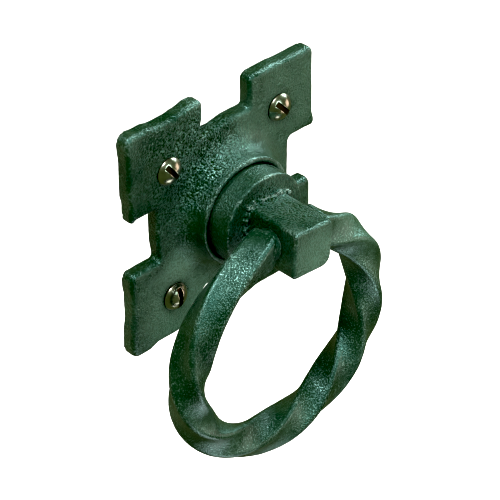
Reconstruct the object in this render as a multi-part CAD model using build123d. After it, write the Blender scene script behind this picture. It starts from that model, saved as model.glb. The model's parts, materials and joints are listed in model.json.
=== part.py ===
from build123d import *
import math
import os

# Gate ring pull: a cast back plate with a round boss, a swivelling stem with a square
# block on its nose, and a twisted ring whose pegs turn in the sides of the block.
# Millimetres. The origin is the middle of the plate's back face, on the gate.
# +X is right as the user sees it, +Y goes into the gate, +Z is up.

# How far a cut runs past its face or a joined piece runs into its neighbour, and how
# near two edges must be to be taken for the same one
PAST = 1.0
NEAR = 0.01

# How far the stem and the ring are turned about the swivel axis at rest, in degrees,
# clockwise as the user sees them
SWIVEL_AT_REST = 8.0

# Back plate: a square with a notch in the middle of each side, which leaves four tabs
PLATE = 76.0
PLATE_THICKNESS = 4.2
NOTCH_WIDTH = 19.6
NOTCH_DEPTH = 11.2
TAB_CORNER = 2.8
TAB_INNER_CORNER = 1.8
NOTCH_FLOOR_CORNER = 1.4
FRONT_EDGE = 1.5

# Boss: it rises from the plate in a wide hollow curve and ends in a thin rim
RIM_RADIUS = 17.2
RIM_FRONT = 12.6
BOSS_FLARE = 6.4
RIM_EDGE = 0.35

# Bearing of the stem: a wide counterbore, a bore, and a recess at the back of the plate
COUNTERBORE_RADIUS = 15.9
COUNTERBORE_FLOOR = 8.6
JOURNAL_RADIUS = 8.0
BORE_CLEARANCE = 0.06
RECESS_RADIUS = 13.0
RECESS_DEPTH = 4.0
END_PLAY = 0.15

# Stem: collar, square block, journal, tenon and riveted head
COLLAR_RADIUS = 15.3
COLLAR_FRONT = 20.1
COLLAR_EDGE = 0.35
BLOCK = 15.2
BLOCK_FRONT = 40.2
BLOCK_EDGE = 0.6
BLOCK_ROOT = 0.8
# The block was forged a few degrees askew of the pegs
BLOCK_ASKEW = 3.0
# The block's long edges were dressed unevenly, so each has a radius of its own
BLOCK_EDGE_RADII = {"top_left": 0.9, "top_right": 1.8, "low_right": 3.4, "low_left": 1.6}
TENON_RADIUS = 6.0
RIVET_RADIUS = 8.6
RIVET_HEIGHT = 1.7
RIVET_EDGE = 0.6

# Washer that the riveted head holds in the recess
WASHER_RADIUS = 12.0
WASHER_THICKNESS = 1.6
WASHER_HOLE_CLEARANCE = 0.05

# Ring: a square bar, twisted cold and bent to a bow that is flattened towards the pegs
BAR = 10.0
BAR_CORNER = 2.2
PIVOT = 30.4
END_FACE = 9.8
END_SLOPE = 29.0
END_RUN = 12.4
SIDE_RADIUS = 32.0
BOTTOM_START = 130.0
QUARTER_TURNS = 9
BOTTOM_PHASE = -11.8
STATIONS = 48
END_SPARE = 3.0

# Pegs of the ring, and the blind holes for them in the block's sides
NECK_RADIUS = 5.0
NECK_LENGTH = 1.4
NECK_SINK = 1.5
PEG_RADIUS = 3.2
PEG_TIP = 2.4
PEG_CLEARANCE = 0.06
PEG_HOLE_FLOOR = 2.0
PEG_EDGE = 0.4

# Round-head slotted screws, one in each tab
SCREW_PITCH = 45.0
SCREW_HEAD_RADIUS = 4.55
SCREW_HEAD_HEIGHT = 3.1
SCREW_HEAD_RIM = 0.5
SCREW_NECK_RADIUS = 2.6
SCREW_SHANK_RADIUS = 2.4
SCREW_SHANK_END = 5.6
SCREW_POINT_END = 8.5
SCREW_POINT_RADIUS = 0.5
SCREW_HOLE_RADIUS = 2.8
SLOT_WIDTH = 1.3
SLOT_DEPTH = 1.4
# Column, row and the way the slot points, in degrees above +X
SCREW_PLACES = [(-1, 1, -55), (1, 1, -49), (-1, -1, 88), (1, -1, 20)]


def disc(radius, front, back):
    """A round solid on the swivel axis, from front to back, both measured out from the gate."""
    base = Plane(origin=(0, -back, 0), x_dir=(1, 0, 0), z_dir=(0, -1, 0))
    return extrude(base * Circle(radius), front - back)


def side_disc(radius, inner, outer):
    """A round solid on the peg axis, between two distances from the middle of the block."""
    base = Plane(origin=(inner, -PIVOT, 0), x_dir=(0, 1, 0), z_dir=(1, 0, 0))
    return extrude(base * Circle(radius), outer - inner)


def plate_outline():
    """The notched square, with its three kinds of corner rounded."""
    outline = Rectangle(PLATE, PLATE)
    outline -= PolarLocations(PLATE / 2, 4) * Rectangle(2 * NOTCH_DEPTH, NOTCH_WIDTH)
    side, notch = PLATE / 2, NOTCH_WIDTH / 2
    kinds = [(side - NOTCH_DEPTH, notch, NOTCH_FLOOR_CORNER), (side, notch, TAB_INNER_CORNER), (side, side, TAB_CORNER)]
    for out, across, radius in kinds:
        reach = math.hypot(out, across)
        corners = [v for v in outline.vertices() if abs(math.hypot(v.X, v.Y) - reach) < NEAR]
        outline = fillet(corners, radius)
    return outline


def backplate():
    """Notched plate and boss in one casting, bored for the stem and drilled for the screws."""
    plate = extrude(Plane.XZ * plate_outline(), PLATE_THICKNESS)
    front_edges = plate.faces().sort_by(Axis.Y)[0].edges()
    plate = fillet(front_edges, FRONT_EDGE)
    plate += disc(RIM_RADIUS, RIM_FRONT, PLATE_THICKNESS / 2)
    foot = [e for e in plate.edges().filter_by(GeomType.CIRCLE)
            if abs(e.radius - RIM_RADIUS) < NEAR and abs(e.center().Y + PLATE_THICKNESS) < NEAR]
    plate = fillet(foot, BOSS_FLARE)
    rim = plate.faces().sort_by(Axis.Y)[0].edges()
    plate = fillet(rim, RIM_EDGE)
    plate -= disc(COUNTERBORE_RADIUS, RIM_FRONT + PAST, COUNTERBORE_FLOOR)
    plate -= disc(JOURNAL_RADIUS + BORE_CLEARANCE, RIM_FRONT, 0)
    plate -= disc(RECESS_RADIUS, RECESS_DEPTH, -PAST)
    for column, row, _ in SCREW_PLACES:
        hole = disc(SCREW_HOLE_RADIUS, PLATE_THICKNESS + PAST, -PAST)
        plate -= Pos(column * SCREW_PITCH / 2, 0, row * SCREW_PITCH / 2) * hole
    return plate


def block():
    """The square nose of the stem, with uneven long edges and a lightly dressed front."""
    base = Plane(origin=(0, PAST - COLLAR_FRONT, 0), x_dir=(1, 0, 0), z_dir=(0, -1, 0))
    body = extrude(base * Rectangle(BLOCK, BLOCK), BLOCK_FRONT - COLLAR_FRONT + PAST)
    signs = {"top_left": (-1, 1), "top_right": (1, 1), "low_right": (1, -1), "low_left": (-1, -1)}
    for name, radius in BLOCK_EDGE_RADII.items():
        x_sign, z_sign = signs[name]
        edge = [e for e in body.edges().filter_by(Axis.Y)
                if math.dist((e.center().X, e.center().Z), (x_sign * BLOCK / 2, z_sign * BLOCK / 2)) < NEAR]
        body = fillet(edge, radius)
    front = body.faces().sort_by(Axis.Y)[0].edges()
    return Rot(0, -BLOCK_ASKEW, 0) * chamfer(front, BLOCK_EDGE)


def stem():
    """Collar, block, journal, tenon and riveted head, forged as one piece."""
    collar_back = COUNTERBORE_FLOOR + END_PLAY
    washer_front = RECESS_DEPTH - END_PLAY
    rivet_front = washer_front - WASHER_THICKNESS
    collar = disc(COLLAR_RADIUS, COLLAR_FRONT, collar_back)
    collar = chamfer(collar.edges().filter_by(GeomType.CIRCLE).sort_by(Axis.Y)[0], COLLAR_EDGE)
    body = collar + block()
    root = [e for e in body.edges() if abs(e.center().Y + COLLAR_FRONT) < NEAR and e.length < BLOCK]
    body = fillet(root, BLOCK_ROOT)
    body += disc(JOURNAL_RADIUS, collar_back + PAST, washer_front)
    body += disc(TENON_RADIUS, washer_front + PAST, rivet_front - RIVET_HEIGHT + PAST)
    rivet = disc(RIVET_RADIUS, rivet_front, rivet_front - RIVET_HEIGHT)
    rivet = fillet(rivet.edges().filter_by(GeomType.CIRCLE).sort_by(Axis.Y)[-1], RIVET_EDGE)
    body += rivet
    for side in (-1, 1):
        reach = sorted((side * PEG_HOLE_FLOOR, side * (BLOCK / 2 + PAST)))
        body -= side_disc(PEG_RADIUS + PEG_CLEARANCE, *reach)
    return body


def washer():
    """Plain washer between the stem's shoulder and its riveted head."""
    front = RECESS_DEPTH - END_PLAY
    back = front - WASHER_THICKNESS
    ring = disc(WASHER_RADIUS, front, back)
    return ring - disc(TENON_RADIUS + WASHER_HOLE_CLEARANCE, front + PAST, back - PAST)


def bow_lengths():
    """Radius of the bow's bottom, which closes the bow, and the lengths of its three stretches."""
    slope, turn = math.radians(END_SLOPE), math.radians(BOTTOM_START)
    reach = END_FACE + END_RUN * math.cos(slope) + SIDE_RADIUS * (math.sin(turn) - math.sin(slope))
    bottom_radius = reach / math.sin(turn)
    return bottom_radius, (END_RUN, SIDE_RADIUS * (turn - slope), bottom_radius * (math.pi - turn))


def bow_place(along):
    """X, Z and heading below +X at a distance along the right half of the bow, from the peg."""
    bottom_radius, (run, side, bottom) = bow_lengths()
    heading = math.radians(END_SLOPE)
    x = END_FACE + min(along, run) * math.cos(heading)
    z = -min(along, run) * math.sin(heading)
    for radius, length, start in ((SIDE_RADIUS, side, run), (bottom_radius, bottom, run + side)):
        turned = heading + min(max(along - start, 0), length) / radius
        x += radius * (math.sin(turned) - math.sin(heading))
        z -= radius * (math.cos(heading) - math.cos(turned))
        heading = turned
    return x, z, heading


def bar_section(along):
    """The bar's rounded square at a distance along the whole bow, turned by the twist so far."""
    half = sum(bow_lengths()[1])
    x, z, heading = bow_place(min(along, 2 * half - along))
    side = 1 if along <= half else -1
    tangent = Vector(math.cos(heading), 0, -side * math.sin(heading))
    outward = Vector(-tangent.Z, 0, tangent.X)
    turn = math.radians(BOTTOM_PHASE - QUARTER_TURNS * 90 * (along - half) / (2 * half))
    flat = outward * math.cos(turn) + Vector(0, -1, 0) * math.sin(turn)
    place = Plane(origin=(side * x, -PIVOT, z), x_dir=flat, z_dir=tangent)
    return place * RectangleRounded(BAR, BAR, BAR_CORNER)


def twisted_bar():
    """The bar lofted along the bow, with its ends cut square to the peg axis."""
    half = sum(bow_lengths()[1])
    step = (2 * half + 2 * END_SPARE) / (STATIONS - 1)
    bar = loft([bar_section(step * i - END_SPARE) for i in range(STATIONS)])
    return bar - Pos(0, -PIVOT, 0) * Box(2 * END_FACE, 2 * BAR, 2 * BAR)


def twisted_ring():
    """Twisted bar with a round neck and a peg on each end."""
    ring = twisted_bar()
    for side in (-1, 1):
        neck = side_disc(NECK_RADIUS, *sorted((side * (END_FACE - NECK_LENGTH), side * (END_FACE + NECK_SINK))))
        peg = side_disc(PEG_RADIUS, *sorted((side * PEG_TIP, side * END_FACE)))
        tip = peg.edges().filter_by(GeomType.CIRCLE).sort_by(Axis.X)[0 if side > 0 else -1]
        ring += neck + chamfer(tip, PEG_EDGE)
    return ring


def screw(slot_angle):
    """One round-head screw at the origin of its tab, with a straight slot and a short point."""
    rim = PLATE_THICKNESS + SCREW_HEAD_RIM
    top = PLATE_THICKNESS + SCREW_HEAD_HEIGHT
    rise = top - rim
    dome_radius = (SCREW_HEAD_RADIUS ** 2 + rise ** 2) / (2 * rise)
    outline = Polyline((0, -top), (0, SCREW_POINT_END), (SCREW_POINT_RADIUS, SCREW_POINT_END),
                       (SCREW_SHANK_RADIUS, SCREW_SHANK_END), (SCREW_SHANK_RADIUS, 0), (SCREW_NECK_RADIUS, 0),
                       (SCREW_NECK_RADIUS, -PLATE_THICKNESS), (SCREW_HEAD_RADIUS, -PLATE_THICKNESS),
                       (SCREW_HEAD_RADIUS, -rim))
    dome = RadiusArc((SCREW_HEAD_RADIUS, -rim), (0, -top), dome_radius)
    body = revolve(make_face(outline + dome), Axis.Y)
    slot = Box(3 * SCREW_HEAD_RADIUS, SLOT_DEPTH, SLOT_WIDTH)
    slot = Rot(0, -slot_angle, 0) * slot
    return body - Pos(0, SLOT_DEPTH / 2 - top, 0) * slot


def screws():
    """The four screws, as separate solids."""
    pieces = []
    for column, row, slot_angle in SCREW_PLACES:
        pieces.append(Pos(column * SCREW_PITCH / 2, 0, row * SCREW_PITCH / 2) * screw(slot_angle))
    return Compound(children=[Compound(piece.solids()) for piece in pieces])


def swivelled(piece):
    """A piece of the stem or the ring, turned to where it rests."""
    return Rot(0, SWIVEL_AT_REST, 0) * piece


NODES = {
    "backplate": backplate(),
    "swivel_stem": swivelled(stem()),
    "retaining_washer": swivelled(washer()),
    "twisted_ring": swivelled(twisted_ring()),
    "screws": screws(),
}

os.makedirs("parts", exist_ok=True)
for name, solid in NODES.items():
    export_step(solid, f"parts/{name}.step")
    size = solid.bounding_box().size
    print(f"{name}: {size.X:.2f} x {size.Y:.2f} x {size.Z:.2f} mm, {solid.volume:.0f} cubic mm")
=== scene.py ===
import bpy
import bmesh
import json
import math
from mathutils import Matrix, Vector


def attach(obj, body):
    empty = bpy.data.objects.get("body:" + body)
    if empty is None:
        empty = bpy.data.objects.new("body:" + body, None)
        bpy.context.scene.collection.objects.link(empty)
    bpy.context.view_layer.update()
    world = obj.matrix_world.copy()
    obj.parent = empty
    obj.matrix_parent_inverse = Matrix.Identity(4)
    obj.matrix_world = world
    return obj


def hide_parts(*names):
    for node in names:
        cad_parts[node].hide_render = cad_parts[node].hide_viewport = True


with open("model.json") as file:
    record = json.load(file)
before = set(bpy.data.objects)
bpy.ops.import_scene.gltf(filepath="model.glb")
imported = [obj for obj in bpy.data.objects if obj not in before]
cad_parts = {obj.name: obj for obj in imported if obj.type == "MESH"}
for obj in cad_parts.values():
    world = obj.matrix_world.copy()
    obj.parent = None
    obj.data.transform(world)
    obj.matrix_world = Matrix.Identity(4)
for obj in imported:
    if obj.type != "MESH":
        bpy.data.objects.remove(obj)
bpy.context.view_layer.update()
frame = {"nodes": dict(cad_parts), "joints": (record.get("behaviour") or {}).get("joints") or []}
nodes = frame["nodes"]
joints = {joint["name"]: joint for joint in frame["joints"]}

# The peg axis, and how far it is turned about the swivel axis at rest
pivot = Vector(joints["ring_swing"]["pos_m"])
peg_axis = Vector(joints["ring_swing"]["axis"])
SWIVEL = math.atan2(peg_axis.z, -peg_axis.x)

# Ring: a square bar, twisted and bent to a bow that is flattened towards its pegs, in metres
BAR = 0.0097
BAR_CORNER = 0.0016
END_FACE = 0.0098
END_SLOPE = math.radians(29)
END_RUN = 0.0124
SIDE_RADIUS = 0.032
BOTTOM_START = math.radians(130)
TWIST = math.radians(-9 * 90)
BOTTOM_PHASE = math.radians(11.8)
NECK_RADIUS = 0.005
PEG_RADIUS = 0.0031
# How far from the swivel's plane each neck and each peg begins and ends
NECK_SPAN = (0.0084, 0.0113)
PEG_SPAN = (0.0025, 0.0098)
# The bar was twisted by hand: how many degrees it runs ahead of an even twist, at even distances
# from its left end to its right end
TWIST_AHEAD = [-52, -21, 12, -2, -10, -1, 4, 8, 12, 19, 24]
# How far the bow strays from its drawn line along X and along Z there, in millimetres
BOW_ASIDE = [0.0, 0.7, 0.8, -0.2, -0.2, 0.0, 0.0, 0.0, -0.3, 0.4, 0.2]
BOW_RISE = [0.0, 0.0, 0.0, 0.0, 0.0, 0.0, 0.0, 0.0, 0.0, 0.9, 0.4]
# How much closer together the ring's stations are at its ends than in its middle, from 0 to 1
END_CROWDING = 0.8

# Stem: where the collar's front face is, and the block with the weld at its root
COLLAR_FRONT = 0.0201
BLOCK = 0.0152
BLOCK_TURN = math.radians(5)
RIM_FRONT = 0.0126

# Plate: outline as the hammer left it, in millimetres. Each dent is X and Z of its middle, its
# reach along X and along Z, and how far it moves the outline along X and along Z.
PLATE_THICKNESS = 0.0042
RIM_RADIUS = 0.0172
DENTS = [
    (-35.0, 38.0, 9.0, 12.0, 0.0, 0.3),
    (-24.0, 38.0, 6.0, 8.0, 0.0, -0.5),
    (-10.5, 37.0, 7.0, 8.0, 0.8, 0.9),
    (8.0, 26.8, 12.0, 6.0, 0.0, 0.7),
    (14.5, 38.0, 7.0, 8.0, 0.0, 0.1),
    (29.0, 38.0, 9.0, 8.0, 0.0, -0.3),
    (38.0, 28.0, 12.0, 26.0, -2.0, 0.0),
    (32.0, 9.8, 12.0, 6.0, 0.0, 0.4),
    (27.0, 0.0, 8.0, 16.0, -1.0, 0.0),
    (38.0, -24.0, 12.0, 26.0, -2.9, 0.0),
    (38.0, 11.0, 5.0, 5.0, 0.5, -0.3),
    (-38.0, 38.0, 5.0, 5.0, -0.2, 0.3),
    (30.0, -9.8, 8.0, 6.0, 0.0, 1.4),
    (38.0, -9.8, 5.0, 6.0, 0.0, -0.6),
    (-37.0, -38.0, 9.0, 8.0, -0.2, -1.1),
    (-38.0, -34.0, 8.0, 9.0, -0.5, 0.0),
    (-38.0, -11.0, 7.0, 6.0, -0.4, 0.0),
    (-32.0, -9.8, 10.0, 5.0, 0.0, 0.7),
    (-26.8, 4.0, 6.0, 12.0, -0.8, 0.0),
    (-38.0, 12.0, 6.0, 6.0, 0.5, 0.0),
    (-38.0, 37.0, 6.0, 7.0, -0.4, 0.0),
    (-37.4, 9.6, 1.8, 1.8, -0.3, -0.9),
]

# A spot on the skin is at full strength over this part of its reach
SPOT_CORE = 0.4
# Where the skin is rough, from 0 to 1, which also places painted glints, and painted shading: above 0 a pale
# pool of painted light, below 0 painted shade that takes sheen away. Each is a base value, and spots with X,
# Y and Z in millimetres, reach and what they add
CAST_ROUGH = (0.25, [
    (-14.0, -4.0, 27.0, 14.0, 0.5), (-22.0, -4.0, 13.0, 13.0, 0.25), (-14.0, -8.0, 15.0, 11.0, 0.6),
    (-2.0, -6.0, 21.0, 11.0, 0.5), (-24.0, -4.0, -4.0, 12.0, 0.15), (-28.0, -4.0, 33.0, 9.0, 0.2),
])
CAST_PAINTED_SHADING = (0.0, [
    (-21.0, -4.0, -26.0, 21.0, 0.8), (28.0, -4.0, 22.0, 22.0, 0.25), (6.0, -4.0, 23.0, 12.0, 0.2),
    (-24.0, -4.0, 24.0, 22.0, -1.0), (-25.0, -4.0, -1.0, 15.0, -0.6),
    (-23.0, -4.0, 21.0, 7.0, -0.8), (21.6, -4.0, 23.0, 7.0, -1.0), (-21.9, -4.0, -24.0, 7.0, -1.6),
    (-4.0, -3.0, 28.0, 10.0, -0.9), (-19.0, -6.0, -12.0, 9.0, 1.0),
])
STEM_ROUGH = (0.4, [
    (0.0, -20.0, 8.0, 7.0, 0.5), (-9.0, -20.0, 0.0, 6.0, 0.5),
])
STEM_PAINTED_SHADING = (0.0, [
    (1.0, -47.0, -2.0, 14.0, 1.0), (0.0, -30.0, 10.0, 12.0, -1.2), (-6.0, -20.0, 7.0, 11.0, -0.9),
])
BAR_ROUGH = (0.28, [
    (-21.0, -33.0, -1.0, 10.0, 0.4),
])
BAR_PAINTED_SHADING = (0.0, [
    (30.0, -30.0, -4.0, 20.0, 0.5), (30.0, -30.0, -45.0, 16.0, -0.4), (9.5, -33.0, -60.3, 13.0, -1.0),
    (-12.8, -33.0, -61.3, 12.0, -1.0), (-19.0, -35.0, -7.0, 8.0, -1.0), (-27.0, -35.0, -12.0, 10.0, -1.2),
    (-33.0, -35.0, -20.0, 11.0, -1.2),
])

# Screws: round heads with a straight slot, one in each tab. Each place is its column and row, the
# angle of its slot above +X, and how far it strays along X and Z in millimetres.
SCREW_PITCH = 0.045
HEAD_RADIUS = 0.00455
HEAD_RIM = 0.0005
HEAD_HEIGHT = 0.0031
HEAD_SINK = 0.0002
NECK_OF_SCREW = 0.0026
THREAD_RADIUS = 0.0024
THREAD_ROOT = 0.0018
THREAD_PITCH = 0.00195
THREAD_END = 0.0056
SCREW_POINT = 0.0085
POINT_RADIUS = 0.0003
SLOT_WIDTH = 0.0016
SLOT_DEPTH = 0.0014
SCREW_PLACES = [
    (-1, 1, -55, -0.5, -1.3),
    (1, 1, -49, -0.9, 0.4),
    (-1, -1, 88, 0.6, -1.5),
    (1, -1, 20, 0.0, 0.0),
]
# How far from a screw the plate's hole strays with it, in millimetres
HOLE_REACH = 7.0

# The photograph's camera, fitted to the plate's corners as a 76 mm square
CAMERA_AZIMUTH = math.radians(-44.07)
CAMERA_ELEVATION = math.radians(35.70)
CAMERA_ROLL = math.radians(-0.45)
CAMERA_DISTANCE = 0.8006
CAMERA_ASIDE = 0.009763
CAMERA_RAISED = -0.016656
FOCAL_PIXELS = 2693.2
IMAGE_PIXELS = 500
SENSOR = 36.0
# The linear red, green and blue that are shown as black. The photograph's darks are printed down, so
# its near-black greens keep no red.
BLACKS = (0.0085, 0.0075, 0.0075)
# The photograph is crisp, so each pixel gathers light from little more than its own area, in pixels
PIXEL_FILTER = 0.9
# The dim green surroundings that light the object, as linear red, green, blue and alpha
SURROUNDINGS = (0.125, 0.16, 0.05, 1.0)
# What the soft lights face
LIT_POINT = Vector((0.0, -0.02, -0.02))


def linear(code):
    """An sRGB hex colour as linear red, green, blue and alpha."""
    parts = [int(code[i:i + 2], 16) / 255 for i in (1, 3, 5)]
    return [c / 12.92 if c <= 0.04045 else ((c + 0.055) / 1.055) ** 2.4 for c in parts] + [1.0]


def add(tree, kind, inputs=None, **settings):
    """Adds a node with its settings, and fills its inputs with values or with other nodes' outputs."""
    node = tree.nodes.new(kind)
    for name, value in settings.items():
        setattr(node, name, value)
    for key, value in (inputs or {}).items():
        if isinstance(value, bpy.types.NodeSocket):
            tree.links.new(value, node.inputs[key])
        else:
            node.inputs[key].default_value = value
    return node


def shown(name, data):
    """A new object of the scene, at the origin."""
    piece = bpy.data.objects.new(name, data)
    bpy.context.scene.collection.objects.link(piece)
    return piece


def settled(source, name):
    """A plain mesh piece made from an object and its modifiers. The source is removed."""
    graph = bpy.context.evaluated_depsgraph_get()
    mesh = bpy.data.meshes.new_from_object(source.evaluated_get(graph), depsgraph=graph)
    bpy.data.objects.remove(source)
    piece = shown(name, mesh)
    mesh.name = name
    return piece


def geometry_tree(name, inputs):
    """A geometry tree with named inputs, and its group input and output nodes."""
    tree = bpy.data.node_groups.new(name, "GeometryNodeTree")
    tree.interface.new_socket("Geometry", in_out="INPUT", socket_type="NodeSocketGeometry")
    for label, kind in inputs.items():
        tree.interface.new_socket(label, in_out="INPUT", socket_type="NodeSocket" + kind)
    tree.interface.new_socket("Geometry", in_out="OUTPUT", socket_type="NodeSocketGeometry")
    return tree, tree.nodes.new("NodeGroupInput").outputs, tree.nodes.new("NodeGroupOutput")


def grow(piece, tree, values):
    """Gives a piece the tree as a modifier, with its inputs set by their identifiers."""
    modifier = piece.modifiers.new(tree.name, "NODES")
    modifier.node_group = tree
    for item in tree.interface.items_tree:
        if item.in_out == "INPUT" and item.name in values:
            modifier[item.identifier] = values[item.name]
    return modifier


def pushed(tree, geometry, distance):
    """Moves a surface out along its normal by a distance."""
    normal = add(tree, "GeometryNodeInputNormal").outputs[0]
    offset = add(tree, "ShaderNodeVectorMath", {0: normal, "Scale": distance}, operation="SCALE").outputs[0]
    return add(tree, "GeometryNodeSetPosition", {"Geometry": geometry, "Offset": offset}).outputs[0]


def noise_push(tree, geometry, height, size, seed, mask):
    """Pushes a surface in and out by noise of that height and size, where the mask is 1."""
    place = add(tree, "GeometryNodeInputPosition").outputs[0]
    scale = add(tree, "ShaderNodeMath", {0: 1.0, 1: size}, operation="DIVIDE").outputs[0]
    noise = add(tree, "ShaderNodeTexNoise", {"Vector": place, "W": seed, "Scale": scale, "Detail": 2.0},
                noise_dimensions="4D").outputs[0]
    centred = add(tree, "ShaderNodeMath", {0: noise, 1: 0.5}, operation="SUBTRACT").outputs[0]
    push = add(tree, "ShaderNodeMath", {0: centred, 1: height}, operation="MULTIPLY").outputs[0]
    masked = add(tree, "ShaderNodeMath", {0: push, 1: mask}, operation="MULTIPLY").outputs[0]
    return pushed(tree, geometry, masked)


def clear_of_line(tree, point, direction, near, far):
    """0 within the near distance of a line, and 1 past the far one."""
    place = add(tree, "GeometryNodeInputPosition").outputs[0]
    arm = add(tree, "ShaderNodeVectorMath", {0: place, 1: point}, operation="SUBTRACT").outputs[0]
    across = add(tree, "ShaderNodeVectorMath", {0: arm, 1: direction}, operation="CROSS_PRODUCT").outputs[0]
    reach = add(tree, "ShaderNodeVectorMath", {0: across}, operation="LENGTH").outputs["Value"]
    return add(tree, "ShaderNodeMapRange", {"Value": reach, "From Min": near, "From Max": far},
               interpolation_type="SMOOTHSTEP").outputs[0]


def spotted(tree, spots):
    """A value at each point of the surface: a base value, and more in its spots."""
    base, places = spots
    value = base
    place = add(tree, "GeometryNodeInputPosition").outputs[0]
    for x, y, z, reach, more in places:
        away = add(tree, "ShaderNodeVectorMath", {0: place, 1: (x / 1000, y / 1000, z / 1000)},
                   operation="DISTANCE").outputs["Value"]
        share = add(tree, "ShaderNodeMapRange", {
            "Value": away, "From Min": SPOT_CORE * reach / 1000, "From Max": reach / 1000,
            "To Min": more, "To Max": 0.0}, interpolation_type="SMOOTHSTEP").outputs[0]
        value = add(tree, "ShaderNodeMath", {0: value, 1: share}, operation="ADD").outputs[0]
    return value


def keep_marks(tree, geometry, rough, painted_shading):
    """Stores three attributes: rough, painted shading, and wear, which is above 0 on a ridge, below 0 in a
    hollow.
    """
    angle = add(tree, "GeometryNodeInputMeshEdgeAngle").outputs["Signed Angle"]
    soft = add(tree, "GeometryNodeBlurAttribute", {"Value": angle, "Iterations": 3}).outputs[0]
    for name, value in (("wear", soft), ("rough", rough), ("painted_shading", painted_shading)):
        geometry = add(tree, "GeometryNodeStoreNamedAttribute", {
            "Geometry": geometry, "Name": name, "Value": value}, data_type="FLOAT", domain="POINT").outputs[0]
    return geometry


def close(tree, geometry, output, material):
    """Ends a tree: smooth shading, real geometry and the material."""
    smooth = add(tree, "GeometryNodeSetShadeSmooth", {"Geometry": geometry}).outputs[0]
    real = add(tree, "GeometryNodeRealizeInstances", {"Geometry": smooth}).outputs[0]
    final = add(tree, "GeometryNodeSetMaterial", {"Geometry": real, "Material": material}).outputs[0]
    tree.links.new(final, output.inputs[0])


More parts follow.
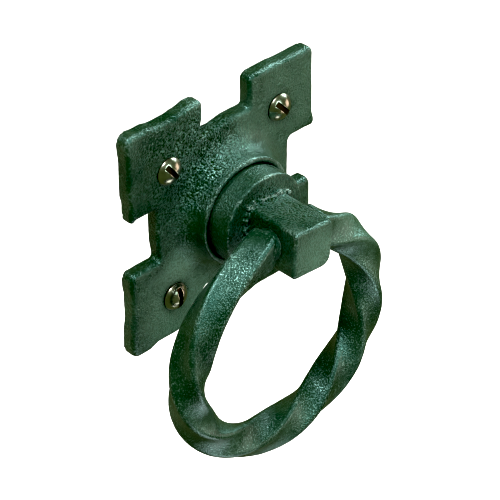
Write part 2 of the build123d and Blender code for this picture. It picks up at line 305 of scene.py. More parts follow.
def coated_iron(name, shades, grain, height, rub):
    """Green-black satin lacquer over iron: grains that wide and high, and pale ridges of wear and painted
    highlight.

    The shades are the deep and the olive lacquer, the painted glints and the pale ridges. The last value says
    from how much of a ridge to how much the ridge is painted pale, and how far it is painted pale at most.
    """
    material = bpy.data.materials.new(name)
    material.use_nodes = True
    tree = material.node_tree
    shader = tree.nodes["Principled BSDF"]
    # Pigment raises the lacquer's IOR, which with the tint gives its teal sheen
    shader.inputs["IOR"].default_value = LACQUER_IOR
    shader.inputs["Specular Tint"].default_value = SHEEN
    deep, olive, painted_glint, rubbed = [linear(code) for code in shades]
    place = add(tree, "ShaderNodeTexCoord").outputs["Object"]
    cloud = add(tree, "ShaderNodeTexNoise", {"Vector": place, "Scale": 1 / CLOUD, "Detail": 5.0,
                                              "Roughness": 0.62}).outputs[0]
    grains = add(tree, "ShaderNodeTexNoise", {
        "Vector": place, "Scale": 1 / grain, "Detail": 3.0}).outputs[0]
    crisp = add(tree, "ShaderNodeMapRange", {"Value": grains, "From Min": 0.4, "From Max": 0.6}).outputs[0]
    pits = add(tree, "ShaderNodeTexVoronoi", {"Vector": place, "Scale": 1 / PIT}).outputs["Distance"]
    wear, rough, painted_shading = [add(tree, "ShaderNodeAttribute", attribute_name=name).outputs["Fac"]
                         for name in ("wear", "rough", "painted_shading")]
    patches = add(tree, "ShaderNodeMapRange", {
        "Value": cloud, "From Min": 0.42, "From Max": 0.6}).outputs[0]
    ground = add(tree, "ShaderNodeMix", {
        "Factor": patches, "A": deep, "B": olive}, data_type="RGBA").outputs[2]
    uneven = add(tree, "ShaderNodeMapRange", {"Value": cloud, "From Min": 0.35, "From Max": 0.65,
                                              "To Min": 0.5, "To Max": 1.3}).outputs[0]
    torn = add(tree, "ShaderNodeMath", {0: rough, 1: uneven}, operation="MULTIPLY").outputs[0]
    # Painted light: above 0 the painted shading mixes the ground towards a pale colour where the grains are
    # high
    painted_light = add(tree, "ShaderNodeMath", {0: painted_shading, 1: grains}, operation="MULTIPLY").outputs[0]
    ground = add(tree, "ShaderNodeMix", {
        "Factor": painted_light, "A": ground, "B": linear(PAINTED_LIGHT_COLOUR)}, data_type="RGBA").outputs[2]
    # Painted glints: where the skin is rough, the grains' tops are painted a pale colour that stands in for
    # glints of light
    high = add(tree, "ShaderNodeMapRange", {"Value": grains, "From Min": 0.58, "From Max": 0.66}).outputs[0]
    glint_share = add(tree, "ShaderNodeMath", {0: high, 1: torn}, operation="MULTIPLY").outputs[0]
    glinted = add(tree, "ShaderNodeMix", {
        "Factor": glint_share, "A": ground, "B": painted_glint}, data_type="RGBA").outputs[2]
    # The pale ridges are partly wear and partly a painted highlight. They are patchy: each needs a ridge, a
    # high spot of the grain and thick lacquer together
    ridge = add(tree, "ShaderNodeMath", {0: crisp, 1: wear}, operation="MULTIPLY").outputs[0]
    patchy = add(tree, "ShaderNodeMath", {0: ridge, 1: patches}, operation="MULTIPLY").outputs[0]
    wear_and_highlight_share = add(tree, "ShaderNodeMapRange", {"Value": patchy, "From Min": rub[0], "From Max": rub[1],
                                                 "To Max": rub[2]}).outputs[0]
    worn = add(tree, "ShaderNodeMix", {"Factor": wear_and_highlight_share, "A": glinted, "B": rubbed}, data_type="RGBA")
    tree.links.new(worn.outputs[2], shader.inputs["Base Color"])
    gloss = add(tree, "ShaderNodeMapRange", {"Value": cloud, "From Min": 0.3, "From Max": 0.7,
                                             "To Min": GLOSS[0], "To Max": GLOSS[1]}).outputs[0]
    tree.links.new(gloss, shader.inputs["Roughness"])
    pitted = add(tree, "ShaderNodeMapRange", {
        "Value": pits, "From Max": 0.35, "To Min": -0.8, "To Max": 0.0}).outputs[0]
    relief = add(tree, "ShaderNodeMath", {0: crisp, 1: pitted}, operation="ADD").outputs[0]
    strength = add(tree, "ShaderNodeMapRange", {"Value": torn, "To Min": 0.15, "To Max": 1.0}).outputs[0]
    bump = add(tree, "ShaderNodeBump", {"Height": relief, "Distance": height, "Strength": strength})
    tree.links.new(bump.outputs[0], shader.inputs["Normal"])
    # Painted shade: below 0 the painted shading takes sheen away. On a rough skin the tops of the grains keep
    # it and the crevices lose it, a painted shade in the crevices
    level = add(tree, "ShaderNodeMapRange", {"Value": painted_shading, "From Min": -1.0, "From Max": 0.0,
                                             "To Min": 0.2, "To Max": 0.52}).outputs[0]
    level = add(tree, "ShaderNodeMath", {0: level, 1: uneven}, operation="MULTIPLY").outputs[0]
    span = add(tree, "ShaderNodeMath", {0: torn, 1: 0.45}, operation="MULTIPLY").outputs[0]
    top = add(tree, "ShaderNodeMath", {0: level, 1: span}, operation="ADD").outputs[0]
    crevice = add(tree, "ShaderNodeMath", {0: level, 1: span}, operation="SUBTRACT",
                  use_clamp=True).outputs[0]
    sheen = add(tree, "ShaderNodeMapRange", {"Value": crisp, "To Min": crevice, "To Max": top}).outputs[0]
    tree.links.new(sheen, shader.inputs["Specular IOR Level"])
    return material


def plain_metal(name, colour, roughness):
    """Bare, plated or greasy metal with fine marks from handling."""
    material = bpy.data.materials.new(name)
    material.use_nodes = True
    tree = material.node_tree
    shader = tree.nodes["Principled BSDF"]
    shader.inputs["Metallic"].default_value = 1.0
    place = add(tree, "ShaderNodeTexCoord").outputs["Object"]
    marks = add(tree, "ShaderNodeTexNoise", {
        "Vector": place, "Scale": 1 / HANDLING_MARK, "Detail": 3.0}).outputs[0]
    tone = add(tree, "ShaderNodeMix", {"Factor": marks, "A": linear(colour[0]), "B": linear(colour[1])},
               data_type="RGBA")
    tree.links.new(tone.outputs[2], shader.inputs["Base Color"])
    gloss = add(tree, "ShaderNodeMapRange", {
        "Value": marks, "To Min": roughness[0], "To Max": roughness[1]}).outputs[0]
    tree.links.new(gloss, shader.inputs["Roughness"])
    return material


# Patches of thicker lacquer are about this wide, and the pits in the iron are this far apart
CLOUD = 0.009
PIT = 0.0016
# Marks from handling on bare metal are about this wide
HANDLING_MARK = 0.0015
LACQUER_IOR = 1.8
# Roughness where the lacquer is thick and where it is thin, and the colour of its sheen
GLOSS = (0.23, 0.39)
SHEEN = (0.46, 1.0, 0.88, 1.0)
# The pale colour of the painted pools of light
PAINTED_LIGHT_COLOUR = "#567a68"

# The lacquer's own grain is about 0.2 mm wide, less than a pixel, so all three are drawn 2 to 3 times as
# coarse, and then it shows. Sand-cast iron: a coarse skin whose grains break the sheen into specks, and
# whose rough spots carry painted glints.
cast_coating = coated_iron("satin lacquer on rough-cast iron", ("#05230d", "#0f2609", "#5c8375", "#62736b"),
                           grain=0.0006, height=0.0003, rub=(0.04, 0.2, 0.6))
# Forged steel: flatter, and pale on its arrises and on the weld, rubbed nearly bare and with a painted
# highlight
stem_coating = coated_iron("satin lacquer on hammered steel", ("#05230f", "#0f2609", "#3f6a5c", "#74877d"),
                           grain=0.0006, height=0.00024, rub=(0.035, 0.18, 0.8))
# Drawn bar, twisted hot: the smoothest of the three, so its highlights hold together along the twist
bar_coating = coated_iron("satin lacquer on twisted bar", ("#062410", "#0d270d", "#7fa397", "#6d8579"),
                          grain=0.0005, height=0.00015, rub=(0.05, 0.2, 0.6))
# Rolled steel looks grey and dull, zinc plate like yellowish silver with soft reflections, and the slots
# and the heads' rims brown-black with hardly any, a dark metal painted as shade
rolled_steel = plain_metal("rolled steel, dulled", ("#6d6c68", "#8b8a84"), (0.3, 0.45))
zinc_plate = plain_metal("bright zinc plate, slightly yellowed", ("#757a68", "#a3a894"), (0.16, 0.3))
slot_and_rim_shade = plain_metal("dark metal as painted shade in slots and on rims", ("#1c1a12", "#332a1c"), (0.5, 0.7))


def merged_copy(node):
    """A copy of a CAD node with its loose triangles joined."""
    mesh = nodes[node].data.copy()
    joined = bmesh.new()
    joined.from_mesh(mesh)
    bmesh.ops.remove_doubles(joined, verts=joined.verts, dist=1e-6)
    joined.to_mesh(mesh)
    joined.free()
    return shown(node + "_copy", mesh)


def even_squares(piece, voxel):
    """Remeshes a piece into even squares of that size, with what overlaps fused."""
    remesh = piece.modifiers.new("even squares", "REMESH")
    remesh.mode = "VOXEL"
    remesh.voxel_size = voxel


def rough_skin(tree, skin, given, mask, rough):
    """Swells a remeshed skin back to size, then adds long waves, and lumps and grain where it is rough."""
    swell = add(tree, "ShaderNodeMath", {0: given["Swell"], 1: mask}, operation="MULTIPLY").outputs[0]
    skin = pushed(tree, skin, swell)
    torn = add(tree, "ShaderNodeMath", {0: mask, 1: rough}, operation="MULTIPLY").outputs[0]
    for part, share in (("Wave", mask), ("Lump", torn), ("Grain", torn)):
        skin = noise_push(tree, skin, given[part + " height"], given[part + " size"], given["Seed"], share)
    return skin


SKIN_INPUTS = {"Swell": "Float", "Wave height": "Float", "Wave size": "Float", "Lump height": "Float",
               "Lump size": "Float", "Grain height": "Float", "Grain size": "Float", "Seed": "Float"}


def plate_tree(material):
    """Rough skin of the casting and dents of its outline. The bearing in its middle stays true."""
    tree, given, output = geometry_tree("hammered casting", {
        **SKIN_INPUTS, "Bearing radius": "Float", "Rim radius": "Float", "Boss radius": "Float"})
    line = {"point": (0, 0, 0), "direction": (0, 1, 0)}
    mask = clear_of_line(tree, near=given["Bearing radius"], far=given["Rim radius"], **line)
    rough = spotted(tree, CAST_ROUGH)
    skin = rough_skin(tree, given["Geometry"], given, mask, rough)
    outside = clear_of_line(tree, near=given["Rim radius"], far=given["Boss radius"], **line)
    place = add(tree, "GeometryNodeInputPosition").outputs[0]
    half_pitch = SCREW_PITCH * 1000 / 2
    holes = [(column * half_pitch, row * half_pitch, HOLE_REACH, HOLE_REACH, aside, rise)
             for column, row, angle, aside, rise in SCREW_PLACES]
    for x, z, reach_x, reach_z, push_x, push_z in DENTS + holes:
        arm = add(tree, "ShaderNodeVectorMath", {
            0: place, 1: (x / 1000, 0, z / 1000)}, operation="SUBTRACT").outputs[0]
        parts = add(tree, "ShaderNodeVectorMath", {
            0: arm, 1: (1000 / reach_x, 0, 1000 / reach_z)}, operation="MULTIPLY").outputs[0]
        reach = add(tree, "ShaderNodeVectorMath", {0: parts}, operation="LENGTH").outputs["Value"]
        share = add(tree, "ShaderNodeMapRange", {
            "Value": reach, "From Min": 0.5, "From Max": 1.0, "To Min": 1.0, "To Max": 0.0},
                    interpolation_type="SMOOTHSTEP").outputs[0]
        kept = add(tree, "ShaderNodeMath", {0: share, 1: outside}, operation="MULTIPLY").outputs[0]
        offset = add(tree, "ShaderNodeVectorMath", {
            0: (push_x / 1000, 0, push_z / 1000), "Scale": kept}, operation="SCALE").outputs[0]
        skin = add(tree, "GeometryNodeSetPosition", {"Geometry": skin, "Offset": offset}).outputs[0]
    close(tree, keep_marks(tree, skin, rough, spotted(tree, CAST_PAINTED_SHADING)), output, material)
    return tree


def plate():
    """The cast plate with its boss."""
    piece = merged_copy("backplate")
    even_squares(piece, voxel=0.0004)
    grow(piece, plate_tree(cast_coating), {
        "Swell": 0.00015, "Wave height": 0.0005, "Wave size": 0.011, "Lump height": 0.0006,
        "Lump size": 0.003, "Grain height": 0.0005, "Grain size": 0.0013, "Seed": 3.0,
        "Bearing radius": 0.0132, "Rim radius": RIM_RADIUS, "Boss radius": 0.023})
    piece = settled(piece, "plate_casting")
    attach(piece, "plate")
    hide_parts("backplate")


def weld_tree():
    """A ragged bead of weld round the root of the block: lumps strewn along a rounded square."""
    tree, given, output = geometry_tree("weld bead", {
        "Side": "Float", "Corner": "Float", "Front": "Float", "Turn": "Float", "Count": "Int",
        "Smallest": "Float", "Largest": "Float", "Stray": "Float", "Seed": "Int"})
    square = add(tree, "GeometryNodeCurvePrimitiveQuadrilateral", {
        "Width": given["Side"], "Height": given["Side"]})
    soft = add(tree, "GeometryNodeFilletCurve", {"Curve": square.outputs[0], "Radius": given["Corner"],
                                                 "Count": 6}, mode="POLY")
    points = add(tree, "GeometryNodeCurveToPoints", {"Curve": soft.outputs[0], "Count": given["Count"]},
                 mode="COUNT")
    stray = add(tree, "FunctionNodeRandomValue", {
        "Min": (-1, -1, -1), "Max": (1, 1, 1), "Seed": given["Seed"]}, data_type="FLOAT_VECTOR").outputs[0]
    offset = add(tree, "ShaderNodeVectorMath", {
        0: stray, "Scale": given["Stray"]}, operation="SCALE").outputs[0]
    strewn = add(tree, "GeometryNodeSetPosition", {
        "Geometry": points.outputs[0], "Offset": offset}).outputs[0]
    lump = add(tree, "GeometryNodeMeshIcoSphere", {"Radius": 1.0, "Subdivisions": 2}).outputs[0]
    size = add(tree, "FunctionNodeRandomValue", {2: given["Smallest"], 3: given["Largest"],
                                                 "Seed": given["Seed"]}, data_type="FLOAT").outputs[1]
    beads = add(tree, "GeometryNodeInstanceOnPoints", {"Points": strewn, "Instance": lump, "Scale": size})
    turned = add(tree, "ShaderNodeCombineXYZ", {"X": math.pi / 2, "Y": given["Turn"]}).outputs[0]
    moved = add(tree, "ShaderNodeCombineXYZ", {"Y": given["Front"]}).outputs[0]
    laid = add(tree, "GeometryNodeTransform", {"Geometry": beads.outputs[0], "Translation": moved,
                                               "Rotation": turned}).outputs[0]
    whole = add(tree, "GeometryNodeJoinGeometry")
    for part in (given["Geometry"], laid):
        tree.links.new(part, whole.inputs[0])
    real = add(tree, "GeometryNodeRealizeInstances", {"Geometry": whole.outputs[0]}).outputs[0]
    final = add(tree, "GeometryNodeSetMaterial", {"Geometry": real, "Material": stem_coating}).outputs[0]
    tree.links.new(final, output.inputs[0])
    return tree


def stem_tree(material):
    """Rough skin of the forging in front of the rim. The journal is drawn in, clear of its bore."""
    tree, given, output = geometry_tree("hammered forging", {
        **SKIN_INPUTS, "Rim front": "Float", "Free front": "Float", "Journal slack": "Float",
        "Peg radius": "Float", "Free radius": "Float"})
    place = add(tree, "GeometryNodeInputPosition").outputs[0]
    depth = add(tree, "ShaderNodeSeparateXYZ", {0: place}).outputs["Y"]
    front = add(tree, "ShaderNodeMapRange", {"Value": depth, "From Min": given["Rim front"],
                                             "From Max": given["Free front"]}).outputs[0]
    beside = clear_of_line(tree, tuple(pivot), tuple(peg_axis), given["Peg radius"], given["Free radius"])
    mask = add(tree, "ShaderNodeMath", {0: front, 1: beside}, operation="MULTIPLY").outputs[0]
    rough = spotted(tree, STEM_ROUGH)
    skin = rough_skin(tree, given["Geometry"], given, mask, rough)
    hidden = add(tree, "ShaderNodeMath", {0: 1.0, 1: front}, operation="SUBTRACT").outputs[0]
    slack = add(tree, "ShaderNodeMath", {
        0: hidden, 1: given["Journal slack"]}, operation="MULTIPLY").outputs[0]
    inward = add(tree, "ShaderNodeMath", {0: slack, 1: -1.0}, operation="MULTIPLY").outputs[0]
    skin = pushed(tree, skin, inward)
    close(tree, keep_marks(tree, skin, rough, spotted(tree, STEM_PAINTED_SHADING)), output, material)
    return tree


def stem():
    """The forged stem: collar, square block with its weld, and riveted tail."""
    piece = merged_copy("swivel_stem")
    grow(piece, weld_tree(), {
        "Side": BLOCK + 0.0008, "Corner": 0.0015, "Front": -COLLAR_FRONT - 0.0002, "Turn": BLOCK_TURN,
        "Count": 420, "Smallest": 0.0002, "Largest": 0.0007, "Stray": 0.0011, "Seed": 4})
    even_squares(piece, voxel=0.0003)
    grow(piece, stem_tree(stem_coating), {
        "Swell": 0.00015, "Wave height": 0.0003, "Wave size": 0.009, "Lump height": 0.0003,
        "Lump size": 0.003, "Grain height": 0.0003, "Grain size": 0.001, "Seed": 8.0, "Rim front": -RIM_FRONT,
        "Free front": -RIM_FRONT - 0.001, "Journal slack": 0.00018,
        "Peg radius": PEG_RADIUS + 0.0003, "Free radius": PEG_RADIUS + 0.0012})
    piece = settled(piece, "stem_forging")
    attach(piece, "stem")
    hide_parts("swivel_stem")


def bow_lengths():
    """Radius of the bow's bottom, which closes the bow, and the lengths of its three stretches."""
    reach = END_FACE + END_RUN * math.cos(END_SLOPE)
    reach += SIDE_RADIUS * (math.sin(BOTTOM_START) - math.sin(END_SLOPE))
    bottom = reach / math.sin(BOTTOM_START)
    return bottom, (END_RUN, SIDE_RADIUS * (BOTTOM_START - END_SLOPE), bottom * (math.pi - BOTTOM_START))


def bow_point(along):
    """X and Z at a distance along the right half of the bow, from its end face."""
    bottom_radius, (run, side, bottom) = bow_lengths()
    heading = END_SLOPE
    x = END_FACE + min(along, run) * math.cos(heading)
    z = -min(along, run) * math.sin(heading)
    for radius, length, start in ((SIDE_RADIUS, side, run), (bottom_radius, bottom, run + side)):
        turned = heading + min(max(along - start, 0), length) / radius
        x += radius * (math.sin(turned) - math.sin(heading))
        z -= radius * (math.cos(heading) - math.cos(turned))
        heading = turned
    return x, z


def between(values, part):
    """A smooth line through even values, read at a part of it from 0 to 1."""
    place = part * (len(values) - 1)
    i = min(int(place), len(values) - 2)
    t = place - i
    a, b = values[i], values[i + 1]
    lean_a = (b - values[max(i - 1, 0)]) / 2
    lean_b = (values[min(i + 2, len(values) - 1)] - a) / 2
    rise = b - a
    return a + t * (lean_a + t * (3 * rise - 2 * lean_a - lean_b + t * (lean_a + lean_b - 2 * rise)))


def bow_curve(count):
    """The bow from the left end face round to the right one, as a line of points that crowd at its ends."""
    half = sum(bow_lengths()[1])
    data = bpy.data.curves.new("bow", "CURVE")
    data.dimensions = "3D"
    spline = data.splines.new("POLY")
    spline.points.add(count - 1)
    for i, point in enumerate(spline.points):
        turn = 2 * math.pi * i / (count - 1)
        along = half * (turn - END_CROWDING * math.sin(turn)) / math.pi
        side = -1 if along < half else 1
        x, z = bow_point(along if side < 0 else 2 * half - along)
        part = along / (2 * half)
        x = side * x + between(BOW_ASIDE, part) / 1000
        point.co = (x, pivot.y, z + between(BOW_RISE, part) / 1000, 1)
        point.tilt = math.radians(between(TWIST_AHEAD, part))
    return shown("bow", data), 2 * half


def ring_tree(material):
    """Twisted bar along the bow, its ends cut square to the pegs, with a neck and a peg on each."""
    tree, given, output = geometry_tree("twisted bar", {
        "Bar": "Float", "Corner": "Float", "Length": "Float", "Twist": "Float", "Phase": "Float",
        "Across": "Int", "End shift": "Float", "Edge": "Float", "Turn": "Float", "Hammer height": "Float",
        "Hammer size": "Float", "Grain height": "Float", "Grain size": "Float", "Seed": "Float"})
    along = add(tree, "GeometryNodeSplineParameter").outputs["Length"]
    part = add(tree, "GeometryNodeSplineParameter").outputs["Factor"]
    middle = add(tree, "ShaderNodeMath", {0: part, 1: 0.5}, operation="SUBTRACT").outputs[0]
    tilt = add(tree, "ShaderNodeMath", {0: middle, 1: given["Twist"], 2: given["Phase"]},
               operation="MULTIPLY_ADD").outputs[0]
    ahead = add(tree, "GeometryNodeInputCurveTilt").outputs[0]
    whole_tilt = add(tree, "ShaderNodeMath", {0: tilt, 1: ahead}, operation="ADD").outputs[0]
    turned = add(tree, "GeometryNodeSetCurveTilt", {
        "Curve": given["Geometry"], "Tilt": whole_tilt}).outputs[0]
    from_end = add(tree, "ShaderNodeMath", {0: given["Length"], 1: along}, operation="SUBTRACT").outputs[0]
    nearest = add(tree, "ShaderNodeMath", {0: along, 1: from_end}, operation="MINIMUM").outputs[0]
    # The bar shrinks over its last stretch as a quarter circle does, so its end's edge is worn round
    short = add(tree, "ShaderNodeMapRange", {"Value": nearest, "From Min": 0.0, "From Max": given["Edge"],
                                             "To Min": 1.0, "To Max": 0.0}).outputs[0]
    squared = add(tree, "ShaderNodeMath", {0: short, 1: short}, operation="MULTIPLY").outputs[0]
    rest = add(tree, "ShaderNodeMath", {0: 1.0, 1: squared}, operation="SUBTRACT").outputs[0]
    root = add(tree, "ShaderNodeMath", {0: rest}, operation="SQRT").outputs[0]
    inset = add(tree, "ShaderNodeMath", {0: 1.0, 1: root}, operation="SUBTRACT").outputs[0]
    worn = add(tree, "ShaderNodeMath", {0: inset, 1: given["Edge"]}, operation="MULTIPLY").outputs[0]
    half_bar = add(tree, "ShaderNodeMath", {0: given["Bar"], 1: 2.0}, operation="DIVIDE").outputs[0]
    lost = add(tree, "ShaderNodeMath", {0: worn, 1: half_bar}, operation="DIVIDE").outputs[0]
    rounding = add(tree, "ShaderNodeMath", {0: 1.0, 1: lost}, operation="SUBTRACT").outputs[0]
    kept = add(tree, "GeometryNodeCaptureAttribute", {"Geometry": turned})
    kept.capture_items.new("VECTOR", "centre")
    kept.capture_items.new("VECTOR", "tangent")
    kept.capture_items.new("FLOAT", "nearest")
    tree.links.new(add(tree, "GeometryNodeInputPosition").outputs[0], kept.inputs["centre"])
    tree.links.new(add(tree, "GeometryNodeInputTangent").outputs[0], kept.inputs["tangent"])
    tree.links.new(nearest, kept.inputs["nearest"])
    square = add(tree, "GeometryNodeCurvePrimitiveQuadrilateral", {
        "Width": given["Bar"], "Height": given["Bar"]})
    soft = add(tree, "GeometryNodeFilletCurve", {"Curve": square.outputs[0], "Radius": given["Corner"],
                                                 "Count": 12}, mode="POLY")
    profile = add(tree, "GeometryNodeResampleCurve", {"Curve": soft.outputs[0], "Count": given["Across"]})
    bar = add(tree, "GeometryNodeCurveToMesh", {
        "Curve": kept.outputs[0], "Profile Curve": profile.outputs[0], "Scale": rounding,
        "Fill Caps": True}).outputs[0]
    # Near an end each point slides along the bar until the end face is square to the peg
    place = add(tree, "GeometryNodeInputPosition").outputs[0]
    spread = add(tree, "ShaderNodeVectorMath", {0: place, 1: kept.outputs["centre"]}, operation="SUBTRACT")
    spread_x = add(tree, "ShaderNodeSeparateXYZ", {0: spread.outputs[0]}).outputs["X"]
    tangent_x = add(tree, "ShaderNodeSeparateXYZ", {0: kept.outputs["tangent"]}).outputs["X"]
    slide = add(tree, "ShaderNodeMath", {0: spread_x, 1: tangent_x}, operation="DIVIDE").outputs[0]
    share = add(tree, "ShaderNodeMapRange", {"Value": kept.outputs["nearest"], "From Min": 0.0,
                                             "From Max": given["End shift"], "To Min": -1.0, "To Max": 0.0})
    moved = add(tree, "ShaderNodeMath", {0: slide, 1: share.outputs[0]}, operation="MULTIPLY").outputs[0]
    offset = add(tree, "ShaderNodeVectorMath", {
        0: kept.outputs["tangent"], "Scale": moved}, operation="SCALE").outputs[0]
    bar = add(tree, "GeometryNodeSetPosition", {"Geometry": bar, "Offset": offset}).outputs[0]
    for kind in ("Hammer", "Grain"):
        bar = noise_push(tree, bar, given[kind + " height"], given[kind + " size"], given["Seed"], 1.0)
    whole = add(tree, "GeometryNodeJoinGeometry")
    for side in (-1, 1):
        for radius, (inner, outer) in ((NECK_RADIUS, NECK_SPAN), (PEG_RADIUS, PEG_SPAN)):
            rod = add(tree, "GeometryNodeMeshCylinder", {
                "Vertices": 64, "Side Segments": 6, "Radius": radius, "Depth": outer - inner})
            middle_x = side * (inner + outer) / 2
            laid = add(tree, "GeometryNodeTransform", {"Geometry": rod.outputs[0],
                                                       "Translation": (middle_x, pivot.y, 0),
                                                       "Rotation": (0, math.pi / 2, 0)})
            tree.links.new(laid.outputs[0], whole.inputs[0])
    tree.links.new(bar, whole.inputs[0])
    swivelled = add(tree, "ShaderNodeCombineXYZ", {"Y": given["Turn"]}).outputs[0]
    hung = add(tree, "GeometryNodeTransform", {
        "Geometry": whole.outputs[0], "Rotation": swivelled}).outputs[0]
    marked = keep_marks(tree, hung, spotted(tree, BAR_ROUGH), spotted(tree, BAR_PAINTED_SHADING))
    close(tree, marked, output, material)
    return tree


def ring():
    """The twisted ring with its necks and pegs."""
    bow, length = bow_curve(count=640)
    grow(bow, ring_tree(bar_coating), {
        "Bar": BAR, "Corner": BAR_CORNER, "Length": length, "Twist": TWIST, "Phase": BOTTOM_PHASE,
        "Across": 96, "End shift": 0.006, "Edge": 0.0014, "Turn": SWIVEL, "Hammer height": 0.0003,
        "Hammer size": 0.006, "Grain height": 0.00014, "Grain size": 0.0009, "Seed": 5.0})
    piece = settled(bow, "ring_bar")
    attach(piece, "ring")
    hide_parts("twisted_ring")


def thread_depth(along, turn):
    """How deep the thread is cut, from 0 at its crest to 1 at its root, at a height and an angle."""
    part = (along / THREAD_PITCH - turn / (2 * math.pi)) % 1
    # A triangular wave, drawn steeper and cut off so that crests and roots are flat
    return min(1, max(0, 1.6 * (1 - abs(2 * part - 1)) - 0.3))


def screw_rows():
    """Radius, Y and thread cut of each row of the screw, from the top of its dome to its point."""
    rim = PLATE_THICKNESS + HEAD_RIM
    rise = HEAD_HEIGHT - HEAD_RIM
    dome = (HEAD_RADIUS ** 2 + rise ** 2) / (2 * rise)
    widest = math.asin(HEAD_RADIUS / dome)
    rows = []
    dome_rows, shank_rows = 14, 60
    for i in range(1, dome_rows + 1):
        lean = widest * i / dome_rows
        rows.append((dome * math.sin(lean), -rim - rise + dome * (1 - math.cos(lean)), 0))
    seat = -PLATE_THICKNESS + HEAD_SINK
    rows += [(HEAD_RADIUS, seat, 0), (NECK_OF_SCREW, seat, 0), (NECK_OF_SCREW, 0, 0)]
    for i in range(shank_rows + 1):
        y = SCREW_POINT * i / shank_rows
        taper = min(1, (SCREW_POINT - y) / (SCREW_POINT - THREAD_END))
        radius = POINT_RADIUS + (THREAD_RADIUS - POINT_RADIUS) * taper
        rows.append((radius, y, (THREAD_RADIUS - THREAD_ROOT) * taper))
    return rows


def screw_blank(columns=40):
    """One screw turned from its rows, with its thread, its head's seat at the plate's face."""
    mesh = bpy.data.meshes.new("screw")
    turned = bmesh.new()
    rings = []
    for radius, y, cut in screw_rows():
        row = []
        for j in range(columns):
            angle = 2 * math.pi * j / columns
            reach = radius - cut * thread_depth(y, angle)
            row.append(turned.verts.new((reach * math.cos(angle), y, reach * math.sin(angle))))
        rings.append(row)
    for upper, lower in zip(rings, rings[1:]):
        for j in range(columns):
            k = (j + 1) % columns
            turned.faces.new((upper[j], upper[k], lower[k], lower[j]))
    for row, y in ((rings[0], -PLATE_THICKNESS - HEAD_HEIGHT), (rings[-1], SCREW_POINT)):
        pole = turned.verts.new((0, y, 0))
        for j in range(columns):
            turned.faces.new((row[j], row[(j + 1) % columns], pole))
    bmesh.ops.recalc_face_normals(turned, faces=turned.faces)
    turned.to_mesh(mesh)
    turned.free()
    return shown("screw", mesh)


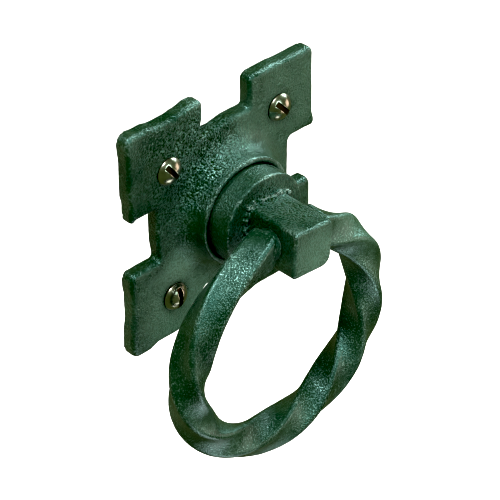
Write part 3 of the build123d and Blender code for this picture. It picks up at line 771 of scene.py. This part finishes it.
def screws_tree(material, painted_shade):
    """Cuts the slot and sets a turned screw in each tab, with painted shade in the slots and on the rims."""
    tree, given, output = geometry_tree("four screws", {
        "Pitch": "Float", "Slot width": "Float", "Slot depth": "Float", "Head radius": "Float",
        "Top": "Float", "Face": "Float", "Rim": "Float"})
    length = add(tree, "ShaderNodeMath", {0: given["Head radius"], 1: 3.0}, operation="MULTIPLY").outputs[0]
    deep = add(tree, "ShaderNodeMath", {0: given["Slot depth"], 1: 2.0}, operation="MULTIPLY").outputs[0]
    sizes = add(tree, "ShaderNodeCombineXYZ", {"X": length, "Y": deep, "Z": given["Slot width"]}).outputs[0]
    cutter = add(tree, "GeometryNodeMeshCube", {"Size": sizes}).outputs[0]
    top = add(tree, "ShaderNodeCombineXYZ", {"Y": given["Top"]}).outputs[0]
    cutter = add(tree, "GeometryNodeTransform", {"Geometry": cutter, "Translation": top}).outputs[0]
    slotted = add(tree, "GeometryNodeMeshBoolean", operation="DIFFERENCE")
    tree.links.new(given["Geometry"], slotted.inputs["Mesh 1"])
    tree.links.new(cutter, slotted.inputs["Mesh 2"])
    place = add(tree, "GeometryNodeInputPosition").outputs[0]
    parts = add(tree, "ShaderNodeSeparateXYZ", {0: place})
    # Painted shade lies on the slot's faces, found as a little over half its width and just past its floor,
    # and on the head's rim
    half_slot = add(tree, "ShaderNodeMath", {
        0: given["Slot width"], 1: 0.505}, operation="MULTIPLY").outputs[0]
    off_middle = add(tree, "ShaderNodeMath", {0: parts.outputs["Z"]}, operation="ABSOLUTE").outputs[0]
    within = add(tree, "FunctionNodeCompare", {
        0: off_middle, 1: half_slot}, operation="LESS_THAN").outputs[0]
    floor = add(tree, "ShaderNodeMath", {
        0: given["Top"], 1: given["Slot depth"]}, operation="ADD").outputs[0]
    limit = add(tree, "ShaderNodeMath", {0: floor, 1: 0.00001}, operation="ADD").outputs[0]
    above = add(tree, "FunctionNodeCompare", {
        0: parts.outputs["Y"], 1: limit}, operation="LESS_THAN").outputs[0]
    in_slot = add(tree, "FunctionNodeBooleanMath", {0: within, 1: above}, operation="AND").outputs[0]
    lift = add(tree, "ShaderNodeMath", {
        0: parts.outputs["Y"], 1: given["Face"]}, operation="SUBTRACT").outputs[0]
    off_face = add(tree, "ShaderNodeMath", {0: lift}, operation="ABSOLUTE").outputs[0]
    on_rim = add(tree, "FunctionNodeCompare", {
        0: off_face, 1: given["Rim"]}, operation="LESS_THAN").outputs[0]
    painted_shade_faces = add(tree, "FunctionNodeBooleanMath", {0: in_slot, 1: on_rim}, operation="OR").outputs[0]
    marked = add(tree, "GeometryNodeStoreNamedAttribute", {
        "Geometry": slotted.outputs[0], "Name": "painted_shade_faces", "Value": painted_shade_faces},
                 data_type="BOOLEAN", domain="FACE").outputs[0]
    smooth = add(tree, "GeometryNodeSetShadeSmooth", {"Geometry": marked}).outputs[0]
    whole = add(tree, "GeometryNodeJoinGeometry")
    for column, row, angle, aside, rise in SCREW_PLACES:
        across = add(tree, "ShaderNodeMath", {0: given["Pitch"], 1: column / 2, 2: aside / 1000},
                     operation="MULTIPLY_ADD").outputs[0]
        up = add(tree, "ShaderNodeMath", {0: given["Pitch"], 1: row / 2, 2: rise / 1000},
                 operation="MULTIPLY_ADD").outputs[0]
        spot = add(tree, "ShaderNodeCombineXYZ", {"X": across, "Z": up}).outputs[0]
        point = add(tree, "GeometryNodePoints", {"Count": 1, "Position": spot}).outputs[0]
        turned = add(tree, "GeometryNodeInstanceOnPoints", {
            "Points": point, "Instance": smooth, "Rotation": (0, -math.radians(angle), 0)})
        tree.links.new(turned.outputs[0], whole.inputs[0])
    real = add(tree, "GeometryNodeRealizeInstances", {"Geometry": whole.outputs[0]}).outputs[0]
    plated = add(tree, "GeometryNodeSetMaterial", {"Geometry": real, "Material": material}).outputs[0]
    chosen = add(tree, "GeometryNodeInputNamedAttribute", {"Name": "painted_shade_faces"}, data_type="BOOLEAN").outputs[0]
    final = add(tree, "GeometryNodeSetMaterial", {
        "Geometry": plated, "Material": painted_shade, "Selection": chosen}).outputs[0]
    tree.links.new(final, output.inputs[0])
    return tree


def screws():
    """The four round-head screws."""
    piece = screw_blank()
    grow(piece, screws_tree(zinc_plate, slot_and_rim_shade), {
        "Pitch": SCREW_PITCH, "Slot width": SLOT_WIDTH, "Slot depth": SLOT_DEPTH,
        "Head radius": HEAD_RADIUS, "Top": -PLATE_THICKNESS - HEAD_HEIGHT,
        "Face": -PLATE_THICKNESS, "Rim": HEAD_RIM})
    piece = settled(piece, "round_head_screws")
    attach(piece, "plate")
    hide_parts("screws")


def paint_node(node, material):
    """Gives a CAD node that stays in view its material."""
    slots = nodes[node].data.materials
    slots.clear()
    slots.append(material)


def camera():
    """The photograph's viewing angle and frame."""
    a, e, r = CAMERA_AZIMUTH, CAMERA_ELEVATION, CAMERA_ROLL
    back = Vector((math.sin(a) * math.cos(e), -math.cos(a) * math.cos(e), math.sin(e)))
    level = Vector((math.cos(a), math.sin(a), 0))
    upright = back.cross(level)
    right = math.cos(r) * level + math.sin(r) * upright
    up = -math.sin(r) * level + math.cos(r) * upright
    data = bpy.data.cameras.new("camera")
    data.sensor_width = SENSOR
    data.lens = SENSOR * FOCAL_PIXELS / IMAGE_PIXELS
    holder = shown("camera", data)
    turn = Matrix((right, up, back)).transposed().to_4x4()
    place = back * CAMERA_DISTANCE + right * CAMERA_ASIDE + up * CAMERA_RAISED
    holder.matrix_world = Matrix.Translation(place) @ turn
    bpy.context.scene.camera = holder


def softbox(name, azimuth, elevation, distance, size, watts, colour):
    """A square soft light that faces the object from that side and height, both in degrees."""
    a, e = math.radians(azimuth), math.radians(elevation)
    back = Vector((math.sin(a) * math.cos(e), -math.cos(a) * math.cos(e), math.sin(e)))
    data = bpy.data.lights.new(name, "AREA")
    data.shape = "SQUARE"
    data.size = size
    data.energy = watts
    data.color = colour
    lamp = shown(name, data)
    lamp.visible_camera = False
    lamp.rotation_mode = "QUATERNION"
    lamp.location = LIT_POINT + back * distance
    lamp.rotation_quaternion = (-back).to_track_quat("-Z", "Y")


def studio():
    """White surroundings for the camera, dim green ones for the object, soft lights and a pale floor."""
    world = bpy.data.worlds.new("studio")
    bpy.context.scene.world = world
    world.use_nodes = True
    tree = world.node_tree
    tree.nodes.clear()
    seen = add(tree, "ShaderNodeLightPath").outputs["Is Camera Ray"]
    tone = add(tree, "ShaderNodeMix", {
        "Factor": seen, "A": SURROUNDINGS, "B": (1, 1, 1, 1)}, data_type="RGBA").outputs[2]
    light = add(tree, "ShaderNodeBackground", {"Color": tone})
    end = add(tree, "ShaderNodeOutputWorld")
    tree.links.new(light.outputs[0], end.inputs[0])
    # Side and height in degrees, distance and size in metres, watts and colour
    softbox("window over the left shoulder", -60, 65, 0.7, 0.15, 6.0, (1.0, 0.95, 0.98))
    softbox("wall on the right", 90, 30, 0.7, 0.3, 6.3, (0.88, 1.0, 1.0))
    softbox("front fill", 0, 30, 0.7, 0.3, 2.3, (0.8, 1.0, 1.0))
    softbox("warm side fill", 60, 0, 0.7, 0.3, 1.1, (1.0, 0.68, 0.65))
    softbox("bounce from behind on the left", -136, -36, 0.5, 0.3, 0.13, (1.0, 0.85, 0.5))
    softbox("table bounce", 0, -60, 0.25, 0.1, 0.15, (1.0, 0.95, 1.0))
    softbox("warm low fill", 30, -10, 0.22, 0.1, 0.15, (1.0, 0.76, 0.68))
    floor_mesh = bpy.data.meshes.new("floor")
    reach, depth = 6.0, -0.6
    floor_mesh.from_pydata([(-reach, -reach, depth), (reach, -reach, depth), (reach, reach, depth),
                            (-reach, reach, depth)], [], [(0, 1, 2, 3)])
    floor = shown("floor", floor_mesh)
    paper = bpy.data.materials.new("white studio paper")
    paper.use_nodes = True
    shader = paper.node_tree.nodes["Principled BSDF"]
    shader.inputs["Base Color"].default_value = linear("#f6f6f4")
    shader.inputs["Roughness"].default_value = 0.8
    shader.inputs["Emission Color"].default_value = (1, 1, 1, 1)
    shader.inputs["Emission Strength"].default_value = 1.0
    floor_mesh.materials.append(paper)
    floor.visible_diffuse = False
    floor.visible_glossy = False


plate()
stem()
ring()
screws()
paint_node("retaining_washer", rolled_steel)
camera()
studio()
display = bpy.context.scene.view_settings
display.view_transform = "Standard"
display.use_curve_mapping = True
display.curve_mapping.black_level = BLACKS
display.curve_mapping.update()
bpy.context.scene.cycles.filter_width = PIXEL_FILTER
